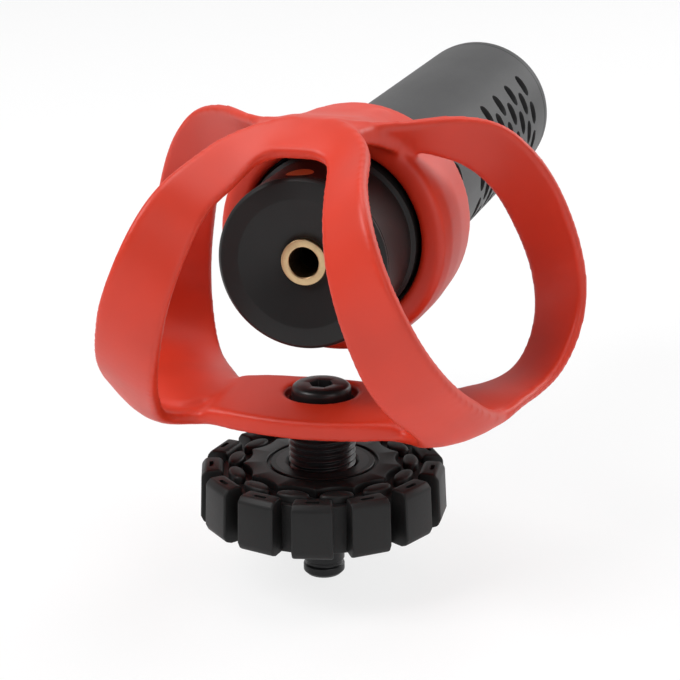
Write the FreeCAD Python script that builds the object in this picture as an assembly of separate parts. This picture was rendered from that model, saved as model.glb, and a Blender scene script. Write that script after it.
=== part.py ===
"""On-camera microphone in a looped elastic cradle on a locking wheel and foot stud.

All lengths in mm.  +Z up, +Y the way the microphone points, +X to its right,
origin at the centre of the foot stud's lower end.
"""
import FreeCAD
import Part
import math
import os

V = FreeCAD.Vector

# ---- microphone ----------------------------------------------------------
MIC_R = 10.5              # barrel outside radius
MIC_WALL = 1.2
MIC_LENGTH = 89.1         # rear rim to front face
MIC_REAR_Y = -6.9
MIC_AXIS_Z = 40.6
REAR_STEP = 0.45          # how much slimmer the rear end is, on the radius
REAR_SLIM = 10.5          # length of the slimmer end
REAR_LIP = 0.9            # rear cap seen behind the tube
REAR_CHAMFER = 0.4
FRONT_ROUND = 1.5
FRONT_SKIRT = 3.0         # front cap seen ahead of the tube
DISH_DEPTH = 1.6          # hollow cone in the rear face
DISH_RIM = 2.5            # flat band round the hollow
JACK_BORE_R = 1.77        # takes a 3.5 mm plug
JACK_RING_R = 2.7
JACK_PROUD = 0.75         # ring above the bottom of the hollow
JACK_DEPTH = 14.0
NUT_WALL = 1.6            # nut's corners outside the ring
NUT_T = 1.4
SOCKET_W = 8.6
SOCKET_H = 7.6
SOCKET_CLEAR = 0.28       # socket's hole over the ring's
SLOT_LENGTH = 3.4         # round the barrel
SLOT_WIDTH = 2.6          # along the barrel
SLOT_PITCH = 7.4          # along the barrel, within a row
SLOT_FIRST = 10.2         # front face to the first row
SLOT_TOP_ANGLE = 35.0     # degrees up from the side
SLOT_ROW_STEP = 11.7      # degrees between staggered rows
SLOT_ROWS = [4, 4, 5, 5, 5, 5, 5]   # slots in each row down one side
REAR_SLOT_Y = 27.2
REAR_SLOT_ANGLE = 17.0
MARK_R = 1.6              # round inlay on the rear end's top
MARK_BACK = 2.8           # from the rear rim to the inlay's middle
MARK_TURN = -4.9          # degrees round the barrel
MARK_T = 0.45
CAP_LENGTH = 7.0          # rear cap, with its plug inside the tube
RING_BACK = 5.1           # from the rear rim to the sealing ring
RING_WIRE_R = 0.35
BOARD_EDGE = 2.6          # board's long edges in from the tube's inside
BOARD_T = 1.0
BOARD_DROP = 5.0          # below the barrel's axis
BOARD_END = 47.0          # from the rear rim
RAIL_W = 2.2
RAIL_H = 2.6
CAPSULE_GAP = 1.5         # between the capsule's boot and the tube
CAPSULE_L = 6.0
BOOT_T = 0.8
HOLDER_L = 9.0
MESH_T = 0.35
FOAM_T = 1.25
FOAM_HOLE_R = 2.2

# ---- elastic cradle --------------------------------------------------------
REAR_BAND_T = 1.6
FRONT_BAND_T = 1.35
BAND_CHAMFER = 0.3
COLLAR_Y0 = 4.4
COLLAR_Y1 = 17.6
COLLAR_WALL = 2.45        # outside the liner
COLLAR_LIP = 1.2          # front lip that keeps the liner in
COLLAR_REAR_LIP = 2.2
LIP_CLEAR = 0.45          # lips to barrel
LINER_T = 1.1
LINER_CLEAR = 0.05
PLATE_T = 2.3
PLATE_TOP_Z = 23.2
PLATE_HALF = 13.6
PLATE_END_FALL = 1.5      # how far the plate's ends slope down
PLATE_END_RUN = 2.6
SCREW_HEAD_R = 3.55
SCREW_HEAD_H = 2.1
SCREW_SEAT_GAP = 0.75     # seat's wall to the head
SCREW_SEAT_DEPTH = 1.45
SCREW_R = 2.0
SCREW_HOLE_CLEAR = 0.2
SCREW_LENGTH = 8.0
WASHER_T = 0.3
HEX_ACROSS = 2.5
HEX_DEPTH = 1.4

# ---- locking wheel, post and foot -----------------------------------------
WHEEL_Z = 7.5             # underside of the wheel above the foot's end
WHEEL_H = 6.95
WHEEL_R_LOW = 14.7
WHEEL_R_TOP = 14.45
TEETH = 13
TOOTH_GAP = 2.1
GAP_FLOOR_R = 12.2
TOOTH_TURN = 12.2         # degrees, tooth nearest -Y
RIM_DROP = 1.1            # floor between the disc and the blocks
STAR_R = 9.6              # disc's points
STAR_VALLEY_R = 8.75
STAR_STEM_R = 8.3         # disc's hub inside the soft rim
PAD_PLACE_R = 10.55       # small soft pads between disc and blocks
PAD_LONG = 4.0
PAD_WIDE = 1.9
DASH_PLACE_R = 13.05
DASH_LONG = 1.7
DASH_WIDE = 0.55
DASH_DEPTH = 0.4
BOSS_GROOVE_OUT = 0.91    # groove outside the insert
GROOVE_HALF = 0.22
GROOVE_DEPTH = 0.35
POST_R = 4.0
THREAD_PITCH = 0.75
THREAD_DEPTH = 0.33
POST_TAIL = 0.2           # post below the wheel
STUD_R = 2.5
STUD_IN = 5.0             # stud's tail inside the post
STUD_SHOULDER = 0.2
INSERT_T = 1.55
CLAMP_R = 9.0
CLAMP_T = 1.2
RUN_CLEAR = 0.05

# ---- worked out from the above ---------------------------------------------
R = MIC_R
ri = MIC_R - MIC_WALL                     # tube's inside
rr = MIC_R - REAR_STEP                    # slimmer rear end
yr = MIC_REAR_Y
yf = MIC_REAR_Y + MIC_LENGTH
LIP_R = MIC_R + LIP_CLEAR
COLLAR_BORE_R = MIC_R + LINER_T + LINER_CLEAR
COLLAR_R = COLLAR_BORE_R + COLLAR_WALL
SCREW_SEAT_R = SCREW_HEAD_R + SCREW_SEAT_GAP
POST_LOW = WHEEL_Z - POST_TAIL
POST_TOP = PLATE_TOP_Z - PLATE_T
SEAT_Z = PLATE_TOP_Z - SCREW_SEAT_DEPTH
HEAD_Z = SEAT_Z + WASHER_T
INSERT_R = POST_R + INSERT_T
STUD_TAIL_R = STUD_R - STUD_SHOULDER
BOARD_W = 2 * (ri - BOARD_EDGE)
BOSS_GROOVE_R = INSERT_R + BOSS_GROOVE_OUT
NUT_R = JACK_RING_R + NUT_WALL
CAPSULE_R = ri - CAPSULE_GAP - BOOT_T


def v(x, y, z):
    return V(x, y, z)


def cyl(r, h, base, axis=V(0, 0, 1)):
    return Part.makeCylinder(r, h, base, axis)


def ring(ro, ri, h, base, axis=V(0, 0, 1)):
    a = cyl(ro, h, base, axis)
    d = V(axis)
    d.normalize()
    b = cyl(ri, h + 2.0, base - d, axis)
    return a.cut(b)


def poly_face(points):
    return Part.Face(Part.makePolygon(points + [points[0]]))


def turned(profile, base, axis, radial):
    """Solid of revolution from (radius, along-axis) pairs."""
    pts = [base + radial * r + axis * a for r, a in profile]
    return poly_face(pts).revolve(base, axis, 360)


def turned_z(profile, z0=0.0):
    return turned(profile, v(0, 0, z0), v(0, 0, 1), v(1, 0, 0))


def turned_mic(profile):
    """Profile as (radius, y) about the microphone's axis."""
    return turned(profile, v(0, 0, MIC_AXIS_Z), v(0, 1, 0), v(1, 0, 0))


def prism(sides, corner_r, turn, h, z):
    """Upright prism on the post's axis."""
    angles = [math.radians(360.0 / sides * k + turn) for k in range(sides)]
    return poly_face([v(corner_r * math.cos(a), corner_r * math.sin(a), z) for a in angles]).extrude(v(0, 0, h))


def rot_z(shape, deg):
    s = shape.copy()
    s.rotate(v(0, 0, 0), v(0, 0, 1), deg)
    return s


def rot_mic(shape, deg):
    s = shape.copy()
    s.rotate(v(0, 0, MIC_AXIS_Z), v(0, 1, 0), deg)
    return s


def mirror_x(shape):
    return shape.mirror(v(0, 0, 0), v(1, 0, 0))


def one(shape):
    """The single solid in a boolean's result."""
    s = shape.removeSplitter() if hasattr(shape, "removeSplitter") else shape
    solids = s.Solids
    if len(solids) == 1:
        return solids[0]
    solids = sorted(solids, key=lambda q: q.Volume)
    return solids[-1]


os.makedirs("parts", exist_ok=True)


def save(name, shape):
    if not shape.isValid():
        print("not valid:", name)
    shape.exportStep("parts/%s.step" % name)
    print("%-20s solids %d  volume %.1f" % (name, len(shape.Solids), shape.Volume))


# ==========================================================================
# the bands, each given by the two edges of its face
# ==========================================================================
LIFT = 8.0                # band stations are written above this height


def curve_through(points, params):
    c = Part.BSplineCurve()
    c.interpolate(Points=points, Parameters=params)
    return c


def band(stations, thickness, count):
    """Closed band with broken edges, lofted through evenly spaced sections.

    Each station is (inner edge, outer edge, belly); the thickness is laid on the
    side that width x run points to, and the belly bows the face the other way.
    """
    a = [v(*s[0]) + v(0, 0, LIFT) for s in stations]
    b = [v(*s[1]) + v(0, 0, LIFT) for s in stations]
    mids = [(p + q) * 0.5 for p, q in zip(a, b)]
    t = [0.0]
    for i in range(1, len(mids)):
        t.append(t[-1] + (mids[i] - mids[i - 1]).Length)
    t = [k / t[-1] for k in t]
    ca, cb = curve_through(a, t), curve_through(b, t)
    bellies = [s[2] if len(s) > 2 else 0.0 for s in stations]
    wires = []
    for i in range(count):
        u = i / (count - 1.0)
        k = max(j for j in range(len(t) - 1) if t[j] <= u + 1e-9)
        f = min(1.0, (u - t[k]) / (t[k + 1] - t[k]))
        belly = bellies[k] * (1 - f) + bellies[k + 1] * f
        pa, pb = ca.value(u), cb.value(u)
        run = ca.tangent(u)[0] + cb.tangent(u)[0]
        run.normalize()
        w = pb - pa
        width = w.Length
        w.normalize()
        n = w.cross(run)
        n.normalize()
        c, T = BAND_CHAMFER, thickness
        side = [(x * width, -belly * 4 * x * (1 - x)) for x in (0.25, 0.5, 0.75)]
        sec = ([(c, 0)] + side + [(width - c, 0), (width, c), (width, T - c), (width - c, T)]
               + [(x, y + T) for x, y in reversed(side)] + [(c, T), (0, T - c), (0, c)])
        pts = [pa + w * x + n * y for x, y in sec]
        wires.append(Part.makePolygon(pts + [pts[0]]))
    return Part.makeLoft(wires, True, False)


# right half of the rear band, from the middle of the saddle down to the plate
REAR_HALF = [
    ((0.0, -8.3, 46.3), (0.0, -1.0, 48.5)),
    ((2.4, -8.5, 46.1), (3.6, -2.2, 48.6)),
    ((3.9, -9.9, 45.3), (6.6, -5.6, 48.2)),
    ((4.7, -13.0, 43.9), (8.6, -10.4, 47.3)),
    ((5.6, -16.9, 42.6), (9.8, -15.9, 46.2)),
    ((6.4, -20.0, 41.0), (11.1, -20.4, 44.7)),
    ((7.2, -22.2, 38.5), (12.6, -23.6, 42.0)),
    ((8.1, -23.6, 35.8), (14.2, -25.2, 38.6)),
    ((9.2, -24.4, 32.6), (15.8, -25.5, 35.1)),
    ((10.3, -24.3, 29.2), (17.4, -24.8, 31.5)),
    ((11.4, -23.5, 25.8), (18.9, -22.8, 27.8)),
    ((12.6, -21.8, 22.4), (20.4, -19.7, 24.1), 0.0),
    ((13.9, -18.9, 19.1), (21.6, -15.6, 20.8), 0.2),
    ((15.1, -15.4, 16.3), (22.6, -11.0, 18.1), 0.6),
    ((15.3, -12.6, 14.0), (23.2, -5.2, 15.5), 0.9),
    ((13.4, -9.8, 12.9), (22.6, 0.2, 13.9), 0.7),
    ((8.5, -7.9, 13.2), (14.5, 3.4, 13.1), 0.0),
]
# right front band, from inside the saddle down to the plate
FRONT_RIGHT = [
    ((2.6, 4.6, 44.8), (2.2, -2.2, 47.6)),
    ((6.6, 4.8, 43.9), (7.4, -0.4, 47.0)),
    ((10.3, 6.4, 42.8), (12.3, 4.6, 47.1)),
    ((13.7, 9.2, 41.5), (16.0, 8.2, 46.8)),
    ((15.9, 11.9, 39.4), (19.2, 10.5, 45.6)),
    ((17.6, 14.6, 36.4), (21.9, 12.2, 43.0)),
    ((19.1, 17.2, 32.2), (24.4, 14.2, 38.9)),
    ((20.2, 19.2, 28.1), (26.5, 16.0, 33.0)),
    ((20.9, 20.4, 24.1), (27.6, 16.7, 27.8)),
    ((21.0, 20.7, 20.2), (27.8, 16.4, 23.9)),
    ((20.4, 19.9, 16.7), (27.3, 14.7, 20.4)),
    ((19.1, 17.8, 14.2), (26.3, 11.6, 17.5)),
    ((17.0, 14.4, 13.4), (25.1, 7.2, 16.1)),
    ((14.2, 9.6, 13.8), (23.9, 1.2, 15.9)),
    ((11.2, 4.4, 14.5), (22.2, -4.2, 15.4)),
    ((7.6, 1.6, 15.0), (15.0, -7.6, 14.9)),
]

rear_full = [((-s[0][0], s[0][1], s[0][2]), (-s[1][0], s[1][1], s[1][2])) + tuple(s[2:])
             for s in reversed(REAR_HALF[1:])] + REAR_HALF
rear_band = band(rear_full, REAR_BAND_T, 53)
front_band = band(FRONT_RIGHT, FRONT_BAND_T, 30)

# collar, with a lip at each end that keeps the liner in ------------------------
cy0, cy1, cr, cb = COLLAR_Y0, COLLAR_Y1, COLLAR_R, COLLAR_BORE_R
ly0, ly1 = cy0 + COLLAR_REAR_LIP, cy1 - COLLAR_LIP
collar = turned_mic([
    (LIP_R + 0.3, cy0), (cr - 1.0, cy0), (cr - 0.35, cy0 + 0.5), (cr, cy0 + 3.0),
    (cr + 0.1, cy0 + 7.0), (cr - 0.1, cy1 - 0.8), (cr - 0.7, cy1), (LIP_R + 0.3, cy1),
    (LIP_R, cy1 - 0.3), (LIP_R, ly1), (cb, ly1), (cb, ly0), (LIP_R, ly0), (LIP_R, cy0 + 0.4)])


def hood_section(y, z_mid, z_side, half, drop):
    pts = [(-half, z_side - drop), (-half, z_side), (-half * 0.45, z_mid), (half * 0.45, z_mid),
           (half, z_side), (half, z_side - drop), (half * 0.45, z_mid - drop), (-half * 0.45, z_mid - drop)]
    p = [v(x, y, z + LIFT) for x, z in pts]
    return Part.makePolygon(p + [p[0]])


hood = Part.makeLoft([
    hood_section(-4.6, 47.3, 47.6, 6.2, 1.9),
    hood_section(-1.0, 48.3, 47.6, 7.0, 2.3),
    hood_section(3.0, 47.8, 46.2, 8.4, 2.5),
    hood_section(8.5, 46.9, 43.9, 9.2, 2.1),
    hood_section(14.5, 46.4, 43.3, 8.6, 1.7)], True, False)

# base plate --------------------------------------------------------------------
pt, pz = PLATE_T, PLATE_TOP_Z
near = [(PLATE_HALF, -8.6), (10.6, -9.2), (6.0, -10.3), (0.0, -11.0)]
far = [(0.0, 5.3), (4.5, 5.0), (9.8, 4.3), (PLATE_HALF, 3.0)]
near_all = near + [(-x, y) for x, y in reversed(near[:-1])]
far_all = [(-x, y) for x, y in reversed(far[1:])] + far
nc = Part.BSplineCurve()
nc.interpolate([v(x, y, pz - pt) for x, y in near_all])
fc = Part.BSplineCurve()
fc.interpolate([v(x, y, pz - pt) for x, y in far_all])
w1 = Part.Wire([nc.toShape(),
                Part.makeLine(v(near_all[-1][0], near_all[-1][1], pz - pt), v(far_all[0][0], far_all[0][1], pz - pt)),
                fc.toShape(),
                Part.makeLine(v(far_all[-1][0], far_all[-1][1], pz - pt), v(near_all[0][0], near_all[0][1], pz - pt))])
plate = Part.Face(w1).extrude(v(0, 0, pt))
try:
    rim = [e for e in plate.Edges if e.Length > 20]
    plate = plate.makeFillet(0.4, rim)
except Exception as err:
    print("plate rim left sharp:", err)

# the ends of the plate fall away into the bottom of the bands
fall = poly_face([v(PLATE_HALF - PLATE_END_RUN, -20, pz), v(PLATE_HALF + 1, -20, pz),
                  v(PLATE_HALF + 1, -20, pz - PLATE_END_FALL), v(PLATE_HALF, -20, pz - PLATE_END_FALL)]).extrude(v(0, 40, 0))
plate = plate.cut([fall, mirror_x(fall)])

cradle = rear_band.fuse([front_band, mirror_x(front_band), collar, hood, plate])
cradle = cradle.cut(cyl(SCREW_SEAT_R, 8.0, v(0, 0, SEAT_Z)))
cradle = cradle.cut(cyl(SCREW_R + SCREW_HOLE_CLEAR, 8.0, v(0, 0, pz - 6.0)))
# the barrel's way through, and the liner's seat between the lips
cradle = cradle.cut(cyl(MIC_R + 1.2, cy0 + 9.5, v(0, -9.5, MIC_AXIS_Z), v(0, 1, 0)))
cradle = cradle.cut(cyl(LIP_R, cy1 - cy0 + 2.0, v(0, cy0 - 1.0, MIC_AXIS_Z), v(0, 1, 0)))
cradle = cradle.cut(cyl(cb, ly1 - ly0, v(0, ly0, MIC_AXIS_Z), v(0, 1, 0)))
cradle = cradle.cut(cyl(cb, 60.0, v(0, cy1, MIC_AXIS_Z), v(0, 1, 0)))
save("cradle", one(cradle))

# liner gripped by the collar ---------------------------------------------------
li, lo, la, lb = MIC_R + LINER_CLEAR, cb - LINER_CLEAR, ly0 + LINER_CLEAR, ly1 - LINER_CLEAR
liner = turned_mic([(li + 0.2, la), (lo - 0.2, la), (lo, la + 0.2), (lo, lb - 0.2), (lo - 0.2, lb),
                    (li + 0.2, lb), (li, lb - 0.2), (li, la + 0.2)])
save("collar_liner", liner)

# ==========================================================================
# screw, post, stud
# ==========================================================================
hr, hh = SCREW_HEAD_R, SCREW_HEAD_H
head = turned_z([(0, 0), (hr, 0), (hr, 0.68 * hh), (hr - 0.14, 0.86 * hh), (hr - 0.45, hh - 0.04), (hr - 0.65, hh), (0, hh)], HEAD_Z)
hexcut = prism(6, HEX_ACROSS / math.sqrt(3), 30, HEX_DEPTH + 1.0, HEAD_Z + hh - HEX_DEPTH)
shank = cyl(SCREW_R - 0.03, SCREW_LENGTH, v(0, 0, HEAD_Z - SCREW_LENGTH))
shank = shank.makeChamfer(0.3, [e for e in shank.Edges if abs(e.BoundBox.ZMax - (HEAD_Z - SCREW_LENGTH)) < 1e-6])
save("mount_screw", one(head.cut(hexcut).fuse(shank)))
save("screw_washer", ring(SCREW_SEAT_R - 0.25, SCREW_R + SCREW_HOLE_CLEAR, WASHER_T, v(0, 0, SEAT_Z)))

prof = [(0, POST_LOW), (POST_R - 0.5, POST_LOW), (POST_R, POST_LOW + 0.5)]
z = POST_LOW + 1.0
while z + THREAD_PITCH < POST_TOP - 0.6:
    prof += [(POST_R, z), (POST_R - THREAD_DEPTH, z + 0.36 * THREAD_PITCH),
             (POST_R - THREAD_DEPTH, z + 0.50 * THREAD_PITCH), (POST_R, z + 0.86 * THREAD_PITCH)]
    z += THREAD_PITCH
prof += [(POST_R, POST_TOP), (0, POST_TOP)]
post = turned_z(prof)
hole_end = HEAD_Z - SCREW_LENGTH - 0.35
post = post.cut(cyl(SCREW_R, POST_TOP - hole_end + 1.0, v(0, 0, hole_end)))
post = post.cut(cyl(STUD_TAIL_R, STUD_IN, v(0, 0, POST_LOW)))
save("threaded_post", one(post))

r, top = STUD_R, POST_LOW + STUD_IN - 0.1
stud = turned_z([(0, 0), (r - 0.35, 0), (r, 0.35), (r, 1.25), (r - 0.18, 1.35), (r - 0.18, 1.75), (r, 1.85),
                 (r, POST_LOW - 0.1), (STUD_TAIL_R, POST_LOW), (STUD_TAIL_R, top), (0, top)])
save("foot_stud", stud)

# ==========================================================================
# locking wheel
# ==========================================================================
wz, wh = WHEEL_Z, WHEEL_H
step = 360.0 / TEETH
first = -90.0 + TOOTH_TURN
floor = wh - RIM_DROP
seat = CLAMP_T + 0.4      # height of the soft rim's inner ledge

core = turned_z([(INSERT_R, CLAMP_T + RUN_CLEAR), (CLAMP_R + RUN_CLEAR, CLAMP_T + RUN_CLEAR), (CLAMP_R + RUN_CLEAR, 0.0), (CLAMP_R + 0.5, 0.0),
                 (CLAMP_R + 0.5, seat), (STAR_STEM_R, seat), (STAR_STEM_R, floor), (STAR_R, floor),
                 (STAR_R, wh - 0.15), (STAR_R - 0.15, wh), (BOSS_GROOVE_R + GROOVE_HALF, wh), (BOSS_GROOVE_R + GROOVE_HALF, wh - GROOVE_DEPTH),
                 (BOSS_GROOVE_R - GROOVE_HALF, wh - GROOVE_DEPTH), (BOSS_GROOVE_R - GROOVE_HALF, wh), (INSERT_R, wh)], wz)
half_chord = STAR_R * math.sin(math.radians(step / 2))
bite = STAR_R * math.cos(math.radians(step / 2)) - STAR_VALLEY_R
scallop_r = (half_chord ** 2 + bite ** 2) / (2 * bite)
scallop = cyl(scallop_r, 3.0, v(STAR_VALLEY_R + scallop_r, 0, wz + floor))
core = core.cut([rot_z(scallop, first + step * (k + 0.5)) for k in range(TEETH)])
save("wheel_core", one(core))

bore = POST_R + RUN_CLEAR
save("wheel_insert", turned_z([(bore, CLAMP_T + RUN_CLEAR), (INSERT_R, CLAMP_T + RUN_CLEAR), (INSERT_R, wh), (bore + 0.4, wh), (bore, wh - 0.4)], wz))

tread = turned_z([(CLAMP_R + 0.5, 0.0), (WHEEL_R_LOW - 1.1, 0.0), (WHEEL_R_LOW - 0.35, 0.3), (WHEEL_R_LOW, 1.1),
                  (WHEEL_R_TOP, wh - 0.55), (WHEEL_R_TOP - 0.5, wh - 0.1), (GAP_FLOOR_R - 0.1, wh - 0.1),
                  (GAP_FLOOR_R - 0.4, floor), (STAR_STEM_R, floor), (STAR_STEM_R, seat), (CLAMP_R + 0.5, seat)], wz)
gap = Part.makeBox(8.0, TOOTH_GAP, wh + 2, v(GAP_FLOOR_R + TOOTH_GAP / 2, -TOOTH_GAP / 2, wz - 1))
gap = gap.fuse(cyl(TOOTH_GAP / 2, wh + 2, v(GAP_FLOOR_R + TOOTH_GAP / 2, 0, wz - 1)))
tread = tread.cut([rot_z(gap, first + step * (k + 0.5)) for k in range(TEETH)])
pad_end = (PAD_LONG - PAD_WIDE) / 2
pad_z, pad_h = wz + floor - 0.2, RIM_DROP + 0.05
pad = Part.makeBox(PAD_WIDE, 2 * pad_end, pad_h, v(PAD_PLACE_R - PAD_WIDE / 2, -pad_end, pad_z))
pad = pad.fuse([cyl(PAD_WIDE / 2, pad_h, v(PAD_PLACE_R, q, pad_z)) for q in (-pad_end, pad_end)])
tread = tread.fuse([rot_z(pad, first + step * (k + 0.5)) for k in range(TEETH)])
dash = Part.makeBox(DASH_WIDE, DASH_LONG, 1.0, v(DASH_PLACE_R, -DASH_LONG / 2, wz + wh - 0.1 - DASH_DEPTH))
tread = tread.cut([rot_z(dash, first + step * k) for k in range(TEETH)])
save("wheel_tread", one(tread))

save("clamp_pad", turned_z([(bore, 0), (CLAMP_R - 0.3, 0), (CLAMP_R, 0.3), (CLAMP_R, CLAMP_T), (bore, CLAMP_T)], wz))

# ==========================================================================
# microphone
# ==========================================================================
ye = yf - FRONT_SKIRT
slim = yr + REAR_SLIM
tube = turned_mic([(ri, yr + REAR_LIP), (rr - 0.12, yr + REAR_LIP), (rr, yr + REAR_LIP + 0.12), (rr, slim),
                   (R, slim + REAR_STEP), (R, ye), (ri, ye)])


def slot(angle, y):
    """Slot through the right-hand wall, angle up from +X, long side round the barrel."""
    half = (SLOT_LENGTH - SLOT_WIDTH) / 2
    body = Part.makeBox(5.0, SLOT_WIDTH, 2 * half, v(R - 3.0, y - SLOT_WIDTH / 2, MIC_AXIS_Z - half))
    ends = [cyl(SLOT_WIDTH / 2, 5.0, v(R - 3.0, y, MIC_AXIS_Z + e), v(1, 0, 0)) for e in (-half, half)]
    return rot_mic(body.fuse(ends), -angle)


cuts = []
for side in (0, 1):
    for row, n in enumerate(SLOT_ROWS):
        ang = SLOT_TOP_ANGLE - SLOT_ROW_STEP * row
        for k in range(n):
            y = yf - SLOT_FIRST - SLOT_PITCH * (k + (0.5 if row % 2 else 0.0))
            cuts.append(slot(ang if side == 0 else 180.0 - ang, y))
    cuts.append(slot(REAR_SLOT_ANGLE if side == 0 else 180.0 - REAR_SLOT_ANGLE, REAR_SLOT_Y))
tube = tube.cut(cuts)

mark_y = yr + MARK_BACK
mark = rot_mic(cyl(MARK_R, 3.0, v(0, mark_y, MIC_AXIS_Z + rr - 1.5)), MARK_TURN)
mark = mark.common(turned_mic([(rr - MARK_T, mark_y - 3), (rr, mark_y - 3), (rr, mark_y + 3), (rr - MARK_T, mark_y + 3)]))
tube = tube.cut(mark)
save("barrel_tube", one(tube))
save("index_mark", one(mark))

q = FRONT_ROUND
front = turned_mic([(0, yf), (R - q, yf), (R - 0.62 * q, yf - 0.08 * q), (R - 0.29 * q, yf - 0.29 * q), (R - 0.08 * q, yf - 0.62 * q),
                    (R, yf - q), (R, ye), (ri, ye), (ri, ye - 2.5), (ri - 1.0, ye - 2.5), (ri - 1.0, yf - 2.2), (0, yf - 2.2)])
save("front_cap", front)

c = REAR_CHAMFER
ring_y = yr + RING_BACK
rear = turned_mic([(JACK_RING_R, yr + DISH_DEPTH), (rr - DISH_RIM, yr), (rr - c, yr), (rr, yr + c), (rr, yr + REAR_LIP), (ri, yr + REAR_LIP),
                   (ri, ring_y - 0.5), (ri - 2 * RING_WIRE_R, ring_y - 0.5), (ri - 2 * RING_WIRE_R, ring_y + 0.5), (ri, ring_y + 0.5),
                   (ri, yr + CAP_LENGTH), (ri - 1.4, yr + CAP_LENGTH), (ri - 1.4, yr + 3.6), (JACK_RING_R, yr + 3.6)])
save("rear_cap", rear)
save("cap_oring", Part.makeTorus(ri - RING_WIRE_R, RING_WIRE_R, v(0, ring_y, MIC_AXIS_Z), v(0, 1, 0)))

# jack
jy = yr + DISH_DEPTH - JACK_PROUD
nut_y = yr + 3.6
jb0 = nut_y + NUT_T
bush = turned_mic([(JACK_BORE_R + 0.1, jy), (JACK_RING_R - 0.12, jy), (JACK_RING_R, jy + 0.12), (JACK_RING_R, jb0),
                   (JACK_BORE_R, jb0), (JACK_BORE_R, jy + 0.1)])
save("jack_bushing", bush)
nut_pts = [v(NUT_R * math.cos(math.radians(60 * k)), nut_y, MIC_AXIS_Z + NUT_R * math.sin(math.radians(60 * k))) for k in range(6)]
nut = poly_face(nut_pts).extrude(v(0, NUT_T, 0)).cut(cyl(JACK_RING_R, 4, v(0, nut_y - 1, MIC_AXIS_Z), v(0, 1, 0)))
save("jack_nut", one(nut))
jl = JACK_DEPTH
jbody = Part.makeBox(SOCKET_W, jl, SOCKET_H, v(-SOCKET_W / 2, jb0, MIC_AXIS_Z - SOCKET_H / 2))
jbody = jbody.cut(cyl(JACK_BORE_R + SOCKET_CLEAR, jl - 0.8, v(0, jb0, MIC_AXIS_Z), v(0, 1, 0)))
SPRINGS = [(-1, 3.2, "sleeve"), (1, 6.6, "ring"), (-1, 10.2, "tip")]      # side, depth, name
BLADE_T = 0.4
blade_x = JACK_BORE_R + 0.73
springs = []
for sgn, dy, nm in SPRINGS:
    xs = sgn * blade_x - BLADE_T / 2
    pocket = Part.makeBox(1.0, 2.4, 2.0, v(sgn * (blade_x - 0.1) - 0.5, jb0 + dy - 1.2, MIC_AXIS_Z - 1.0))
    blade = Part.makeBox(BLADE_T, 2.2, 1.6, v(xs, jb0 + dy - 1.1, MIC_AXIS_Z - 0.8))
    tail = Part.makeBox(BLADE_T, 0.8, BOARD_DROP + 0.4, v(xs, jb0 + dy - 0.4, MIC_AXIS_Z - BOARD_DROP - 0.4))
    jbody = jbody.cut([pocket, tail])
    springs.append((nm, blade.fuse(tail)))
save("jack_body", one(jbody))
for nm, s in springs:
    save("jack_%s_spring" % nm, one(s))

# circuit board under the jack, on two rails
bz = MIC_AXIS_Z - BOARD_DROP
b0, b1 = yr + CAP_LENGTH + 1.0, yr + BOARD_END
board = Part.makeBox(BOARD_W, b1 - (jb0 + 0.6), BOARD_T, v(-BOARD_W / 2, jb0 + 0.6, bz))
for sgn, dy, nm in SPRINGS:
    board = board.cut(Part.makeBox(BLADE_T + 0.1, 0.9, 3.0, v(sgn * blade_x - BLADE_T / 2 - 0.05, jb0 + dy - 0.45, bz - 1)))
board = board.cut(turned_mic([(ri - 1.5, yr), (3 * R, yr), (3 * R, yr + CAP_LENGTH + 0.3), (ri - 1.5, yr + CAP_LENGTH + 0.3)]))
board = board.common(cyl(ri - 0.2, MIC_LENGTH, v(0, yr, MIC_AXIS_Z), v(0, 1, 0)))
save("circuit_board", one(board))
for nm, sgn in (("left", -1), ("right", 1)):
    x0 = sgn * (BOARD_W / 2 + 0.5) - RAIL_W / 2
    rail = Part.makeBox(RAIL_W, b1 - b0, RAIL_H, v(x0, b0 + 0.4, bz - (RAIL_H - BOARD_T) / 2))
    rail = rail.cut(Part.makeBox(BOARD_W, b1 - b0 + 4, BOARD_T, v(-BOARD_W / 2, b0 - 2, bz)))
    rail = rail.common(cyl(ri, MIC_LENGTH, v(0, yr, MIC_AXIS_Z), v(0, 1, 0)))
    save("board_rail_%s" % nm, one(rail))
on_board = bz + BOARD_T
save("preamp_chip", Part.makeBox(4.0, 5.0, 1.2, v(-2.0, b0 + 16.0, on_board)))
save("filter_cap_a", cyl(2.0, 4.2, v(-3.2, b0 + 26.0, on_board)))
save("filter_cap_b", cyl(2.0, 4.2, v(3.2, b0 + 26.0, on_board)))
save("output_relay", Part.makeBox(3.2, 3.2, 1.6, v(2.4, b0 + 15.5, on_board)))

# capsule group
k0 = b1 + 2.0
k1 = k0 + 2.0             # back of the capsule
boot_r = CAPSULE_R + BOOT_T
holder = turned_mic([(ri - 1.0, k0), (ri, k0), (ri, k0 + HOLDER_L), (ri - 1.0, k0 + HOLDER_L)])
web = turned_mic([(boot_r, k0 + 1.0), (ri - 0.9, k0 + 1.0), (ri - 0.9, k0 + 2.2), (boot_r, k0 + 2.2)])
save("capsule_holder", one(holder.fuse(web)))
save("capsule_boot", turned_mic([(CAPSULE_R - 1.2, k0 + 1.0), (boot_r, k0 + 1.0), (boot_r, k1 + CAPSULE_L + 0.4),
                                 (CAPSULE_R, k1 + CAPSULE_L + 0.4), (CAPSULE_R, k1), (CAPSULE_R - 1.2, k1)]))
ke = k1 + CAPSULE_L
save("capsule", turned_mic([(0, k1), (CAPSULE_R, k1), (CAPSULE_R, ke - 0.3), (CAPSULE_R - 0.3, ke), (0.8, ke), (0.8, ke - 0.5), (0, ke - 0.5)]))
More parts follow.
